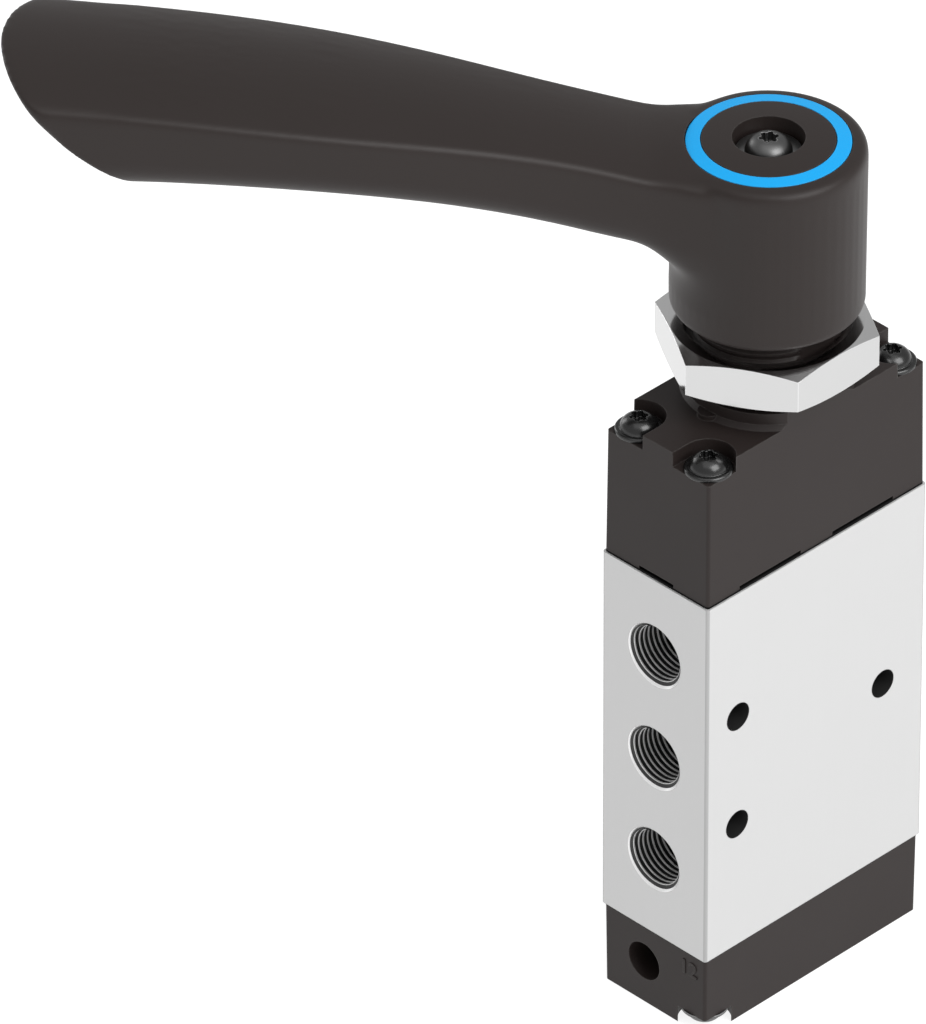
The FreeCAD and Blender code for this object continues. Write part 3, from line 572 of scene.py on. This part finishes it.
def brushed_group():
    """Fine lines along Z, as an extrusion leaves them, and a slow cloud."""
    group, given, result = shader_group(
        "brushed_lines",
        {"Line Scale": 2600.0, "Stretch": 0.02, "Cloud Scale": 45.0},
        {"Height": "Float", "Cloud": "Float"},
    )
    place = node(group, "TexCoord")
    parts = node(group, "SeparateXYZ")
    wire(group, place, "Object", parts, "Vector")
    short = node(group, "Math", operation="MULTIPLY")
    wire(group, parts, "Z", short, 0)
    wire(group, given, "Stretch", short, 1)
    joined = node(group, "CombineXYZ")
    wire(group, parts, "X", joined, "X")
    wire(group, parts, "Y", joined, "Y")
    wire(group, short, "Value", joined, "Z")
    lines = node(group, "TexNoise", Detail=3.0, Roughness=0.6)
    wire(group, joined, "Vector", lines, "Vector")
    wire(group, given, "Line Scale", lines, "Scale")
    cloud = node(group, "TexNoise", Detail=3.0, Roughness=0.5)
    wire(group, place, "Object", cloud, "Vector")
    wire(group, given, "Cloud Scale", cloud, "Scale")
    wire(group, lines, "Fac", result, "Height")
    wire(group, cloud, "Fac", result, "Cloud")
    return group


edge_wear_and_shading = edge_wear_and_shading_group()
moulded_grain = moulded_grain_group()
brushed_lines = brushed_group()


def group_node(tree, group, **settings):
    new = tree.nodes.new("ShaderNodeGroup")
    new.node_tree = group
    for key, value in settings.items():
        new.inputs[key.replace("_", " ")].default_value = value
    return new


def surface(name):
    """Material with only its Principled shader, ready to be wired."""
    material = bpy.data.materials.new(name)
    material.use_nodes = True
    return material, material.node_tree, material.node_tree.nodes["Principled BSDF"]


def grey(tone):
    return (tone, tone, tone)


# Colour sockets of the Mix node: its two inputs and its output
mix_first = 6
mix_second = 7
mix_result = 2


def spread(tree, source, out, low, high):
    """Map a 0 to 1 output onto the range from low to high."""
    mapped = node(tree, "MapRange")
    mapped.inputs["To Min"].default_value = low
    mapped.inputs["To Max"].default_value = high
    wire(tree, source, out, mapped, "Value")
    return mapped


def blend_colours(tree, mask, out, first, second):
    """Colour that goes from first to second with the mask; either may be a node."""
    mix = node(tree, "Mix", data_type="RGBA")
    wire(tree, mask, out, mix, "Factor")
    for socket, colour in ((mix_first, first), (mix_second, second)):
        if isinstance(colour, tuple):
            mix.inputs[socket].default_value = (*colour, 1.0)
        else:
            tree.links.new(colour.outputs[mix_result], mix.inputs[socket])
    return mix


def bumped_normal(tree, height, out, distance, strength, rounding):
    """Normal with a fine relief, rounded along edges by the given radius."""
    bevel = node(tree, "Bevel", samples=4, Radius=rounding)
    bump = node(tree, "Bump", Strength=strength, Distance=distance)
    wire(tree, height, out, bump, "Height")
    wire(tree, bevel, "Normal", bump, "Normal")
    return bump


def moulded_polymer(name, dark, light, wear_and_shading_tone, roughness, relief, gloss=0.28, rounding=0.15 * MM):
    """Moulded polymer: satin grain, a slow change of tone, paler rubbed edges."""
    material, tree, shader = surface(name)
    grain = group_node(tree, moulded_grain)
    wear_and_shading_mask = group_node(tree, edge_wear_and_shading, Strength=polymer_wear)
    tone = blend_colours(tree, grain, "Cloud", dark, light)
    colour = blend_colours(tree, wear_and_shading_mask, "Mask", tone, wear_and_shading_tone)
    wire(tree, colour, mix_result, shader, "Base Color")
    rough = spread(tree, grain, "Cloud", roughness - roughness_swing, roughness + roughness_swing)
    wire(tree, rough, "Result", shader, "Roughness")
    shader.inputs["Specular IOR Level"].default_value = gloss
    bump = bumped_normal(tree, grain, "Height", relief, polymer_relief_strength, rounding)
    wire(tree, bump, "Normal", shader, "Normal")
    return material


def machined_metal(name, dark, light, wear_and_shading_tone, roughness, relief, metallic, lines=2600.0, rounding=0.12 * MM):
    """Metal with fine lines, a slow change of tone and edges of their own tone: wear on most metals,
    painted shade on the body and a painted highlight on the nut, the end screws and the lever screw.
    """
    material, tree, shader = surface(name)
    brush = group_node(tree, brushed_lines, Line_Scale=lines)
    wear_and_shading_mask = group_node(tree, edge_wear_and_shading, Strength=metal_edge_wear_and_shading)
    tone = blend_colours(tree, brush, "Cloud", dark, light)
    colour = blend_colours(tree, wear_and_shading_mask, "Mask", tone, wear_and_shading_tone)
    wire(tree, colour, mix_result, shader, "Base Color")
    rough = spread(tree, brush, "Height", roughness - roughness_swing, roughness + roughness_swing)
    wire(tree, rough, "Result", shader, "Roughness")
    shader.inputs["Metallic"].default_value = metallic
    bump = bumped_normal(tree, brush, "Height", relief, metal_relief_strength, rounding)
    wire(tree, bump, "Normal", shader, "Normal")
    return material


def pale_floor():
    """Plain pale studio floor that glows a little, so that it stays white to its edge."""
    material, tree, shader = surface("pale_floor")
    grain = group_node(tree, moulded_grain, Grain_Scale=300.0, Cloud_Scale=4.0)
    tone = blend_colours(tree, grain, "Cloud", grey(0.24), grey(0.26))
    shader.inputs["Emission Color"].default_value = (1.0, 1.0, 1.0, 1.0)
    shader.inputs["Emission Strength"].default_value = floor_glow
    wire(tree, tone, mix_result, shader, "Base Color")
    rough = spread(tree, grain, "Height", *floor_roughness)
    wire(tree, rough, "Result", shader, "Roughness")
    return material


# Materials of the object
black_cover = moulded_polymer(
    "black_cover_polymer",
    dark=(0.0165, 0.0115, 0.0105),
    light=(0.0190, 0.0138, 0.0127),
    wear_and_shading_tone=(0.075, 0.070, 0.066),
    roughness=0.52,
    relief=0.02 * MM,
)
black_lever = moulded_polymer(
    "black_lever_polymer",
    dark=(0.0185, 0.0135, 0.0122),
    light=(0.0210, 0.0155, 0.0142),
    wear_and_shading_tone=(0.070, 0.066, 0.062),
    roughness=0.46,
    relief=0.015 * MM,
)
ring_blue = moulded_polymer(
    "ring_blue_polymer",
    dark=(0.001, 0.335, 0.74),
    light=(0.002, 0.345, 0.76),
    wear_and_shading_tone=(0.05, 0.42, 0.85),
    roughness=0.38,
    relief=0.01 * MM,
)
seal_rubber = moulded_polymer(
    "seal_rubber",
    dark=grey(0.003),
    light=grey(0.005),
    wear_and_shading_tone=grey(0.006),
    roughness=0.7,
    relief=0.02 * MM,
    gloss=0.1,
)
cage_polymer = moulded_polymer(
    "cage_polymer",
    dark=(0.50, 0.48, 0.42),
    light=(0.56, 0.54, 0.48),
    wear_and_shading_tone=(0.62, 0.60, 0.55),
    roughness=0.45,
    relief=0.01 * MM,
)
body_aluminium = machined_metal(
    "body_aluminium",
    dark=grey(0.548),
    light=grey(0.563),
    # Darker edge tone: painted shade along the body's edges
    wear_and_shading_tone=grey(0.34),
    roughness=0.42,
    relief=0.002 * MM,
    metallic=0.3,
)
# Bright tone for thread crests and upper leading flanks: painted highlight
thread_crest_painted_highlight = machined_metal(
    "thread_crest_painted_highlight",
    dark=grey(0.60),
    light=grey(0.68),
    wear_and_shading_tone=grey(0.76),
    roughness=0.32,
    relief=0.001 * MM,
    metallic=0.5,
)
# Near-black tone for the walls of the body's holes and ports and for thread roots and flanks: painted shade
bore_painted_shade = machined_metal(
    "bore_painted_shade",
    dark=grey(0.020),
    light=grey(0.028),
    wear_and_shading_tone=grey(0.035),
    roughness=0.50,
    relief=0.002 * MM,
    metallic=0.3,
)
# Darker tone for the body's rounded upright edges: painted shade
edge_painted_shade = machined_metal(
    "edge_painted_shade",
    dark=grey(0.37),
    light=grey(0.39),
    wear_and_shading_tone=grey(0.44),
    roughness=0.42,
    relief=0.001 * MM,
    metallic=0.3,
)
# Near-white tone for the port chamfers: painted highlight
chamfer_painted_highlight = machined_metal(
    "chamfer_painted_highlight",
    dark=grey(0.86),
    light=grey(0.92),
    wear_and_shading_tone=grey(0.95),
    roughness=0.30,
    relief=0.001 * MM,
    metallic=0.2,
)
nut_nickel = machined_metal(
    "nut_nickel",
    dark=grey(0.59),
    light=grey(0.62),
    # Bright edge tone: painted highlight along the nut's edges
    wear_and_shading_tone=grey(0.92),
    roughness=0.12,
    relief=0.001 * MM,
    metallic=1.0,
    lines=1500.0,
)
black_steel = machined_metal(
    "black_steel",
    dark=grey(0.045),
    light=grey(0.06),
    wear_and_shading_tone=grey(0.20),
    roughness=0.26,
    relief=0.001 * MM,
    metallic=0.9,
    lines=3500.0,
)
screw_steel = machined_metal(
    "screw_steel",
    dark=grey(0.11),
    light=grey(0.14),
    # Bright edge tone: painted highlight along the screw heads' edges and socket rims
    wear_and_shading_tone=grey(0.60),
    roughness=0.40,
    relief=0.001 * MM,
    metallic=1.0,
    lines=3500.0,
)
washer_steel = machined_metal(
    "washer_steel",
    dark=grey(0.16),
    light=grey(0.22),
    wear_and_shading_tone=grey(0.5),
    roughness=0.30,
    relief=0.003 * MM,
    metallic=1.0,
    lines=3500.0,
)
inner_steel = machined_metal(
    "inner_steel",
    dark=(0.42, 0.42, 0.43),
    light=(0.50, 0.50, 0.51),
    wear_and_shading_tone=grey(0.70),
    roughness=0.26,
    relief=0.003 * MM,
    metallic=1.0,
)
spool_aluminium = machined_metal(
    "spool_aluminium",
    dark=(0.66, 0.66, 0.67),
    light=(0.72, 0.72, 0.73),
    wear_and_shading_tone=grey(0.86),
    roughness=0.22,
    relief=0.002 * MM,
    metallic=1.0,
)

cad_finishes = {
    "valve_body": body_aluminium,
    "top_cover": black_cover,
    "end_cap": black_cover,
    "cover_gasket": seal_rubber,
    "end_gasket": seal_rubber,
    "cover_screws": black_steel,
    "end_screws": screw_steel,
    "panel_nut": nut_nickel,
    "spool": spool_aluminium,
    "lower_guide_bush": spool_aluminium,
    "upper_guide_bush": spool_aluminium,
    "bush_o_rings": seal_rubber,
    "return_spring": inner_steel,
    "cam_follower": cage_polymer,
    "cam_shaft": inner_steel,
    "thrust_washer": cage_polymer,
    "shaft_o_ring": seal_rubber,
    "detent_balls": inner_steel,
    "detent_springs": inner_steel,
    "lever": black_lever,
    "indicator_ring": ring_blue,
    "lever_washer": washer_steel,
    "lever_screw": screw_steel,
}
for number in range(1, 7):
    cad_finishes["seal_ring_%d" % number] = seal_rubber
for number in range(1, 6):
    cad_finishes["port_cage_%d" % number] = cage_polymer


def dress(obj, material):
    obj.data.materials.clear()
    obj.data.materials.append(material)


def dress_thread(ridge):
    """Painted shade on a ridge's root, trailing flank and lower leading flank, and a painted highlight on
    its crest and upper leading flank; its first two faces are its ends.
    """
    dress(ridge, bore_painted_shade)
    ridge.data.materials.append(thread_crest_painted_highlight)
    # Crest and upper leading flank get the painted highlight; the other faces keep the painted shade
    for index, face in enumerate(ridge.data.polygons):
        if index > 1 and (index - 2) % ridge_points in (1, 2):
            face.material_index = 1


def finish_body():
    """Painted shade on the walls in the body's holes and ports, a painted highlight on the port chamfers
    and painted shade on the upright edges.
    """
    body = cad["valve_body"].data
    body.materials.append(bore_painted_shade)
    body.materials.append(chamfer_painted_highlight)
    body.materials.append(edge_painted_shade)
    low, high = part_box("valve_body")
    middle = (low.z + high.z) / 2
    holes = [(low.y + front_hole_inset, middle + side * hole_pitch / 2) for side in (-1, 1)]
    holes.append((high.y - back_hole_inset, middle))
    front_ports = [middle + step * port_pitch for step in (-1, 0, 1)]
    back_ports = [middle + side * port_pitch / 2 for side in (-1, 1)]
    for face in body.polygons:
        x, y, z = face.center
        across_lean = abs(face.normal.x)
        inward_lean = abs(face.normal.y)
        from_hole = min(math.hypot(y - across, z - rise) for across, rise in holes)
        from_port = min(math.hypot(x, z - rise) for rise in (front_ports if y < 0 else back_ports))
        # Walls of the through holes get painted shade
        if from_hole < hole_radius and across_lean < wall_lean:
            face.material_index = 1
        # Port walls get painted shade and port chamfers a painted highlight
        if from_port < port_chamfer_radius and abs(y) > port_inner_limit:
            if inward_lean < wall_lean:
                face.material_index = 1
            elif inward_lean < chamfer_lean:
                face.material_index = 2
        # Faces on the rounded upright edges get painted shade
        elif x < low.x + edge_reach or x > high.x - edge_reach:
            if min(across_lean, inward_lean) > edge_lean:
                face.material_index = 3


def dress_cad_nodes():
    for name, material in cad_finishes.items():
        dress(cad[name], material)
    finish_body()


# Floor, lights and camera

def floor():
    corners = [(-1, -1), (1, -1), (1, 1), (-1, 1)]
    plane = mesh_object("floor", [(x * floor_half, y * floor_half, 0) for x, y in corners], [(0, 1, 2, 3)])
    plane.location.z = -floor_drop
    dress(plane, pale_floor())


def soft_light(name, place, width, height, power):
    lamp = bpy.data.lights.new(name, "AREA")
    lamp.shape = "RECTANGLE"
    lamp.size = width
    lamp.size_y = height
    lamp.energy = power
    holder = link(bpy.data.objects.new(name, lamp))
    holder.location = place
    holder.rotation_euler = (Vector(lamp_target) - Vector(place)).to_track_quat("-Z", "Y").to_euler()


def studio():
    scene = bpy.context.scene
    world = bpy.data.worlds.new("studio")
    world.use_nodes = True
    backdrop = world.node_tree.nodes["Background"]
    backdrop.inputs["Color"].default_value = (1.0, 1.0, 1.0, 1.0)
    backdrop.inputs["Strength"].default_value = sky_strength
    scene.world = world
    for lamp in lamps:
        soft_light(*lamp)
    scene.view_settings.view_transform = "Standard"
    scene.view_settings.look = "None"


def camera():
    lens = bpy.data.cameras.new("camera")
    lens.lens = camera_lens
    lens.sensor_width = camera_sensor
    lens.clip_start, lens.clip_end = camera_clip
    holder = link(bpy.data.objects.new("camera", lens))
    holder.location = camera_place
    level = (camera_target - camera_place).to_track_quat("-Z", "Y").to_matrix()
    roll = level.copy()
    roll.col[0] = level.col[0] * math.cos(camera_roll) + level.col[1] * math.sin(camera_roll)
    roll.col[1] = level.col[1] * math.cos(camera_roll) - level.col[0] * math.sin(camera_roll)
    holder.rotation_euler = roll.to_euler()
    bpy.context.scene.camera = holder


def place_pieces():
    """Every piece that the solids lack or have plainer, on the body that carries it."""
    for ridge in port_threads():
        dress_thread(ridge)
        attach(ridge, "valve")
    thread = collar_thread()
    dress(thread, black_cover)
    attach(thread, "valve")
    number = port_number()
    dress(number, black_cover)
    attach(number, "valve")
    lever = lever_moulding()
    dress(lever, black_lever)
    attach(lever, "lever")
    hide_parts("lever")


dress_cad_nodes()
place_pieces()
floor()
studio()
camera()
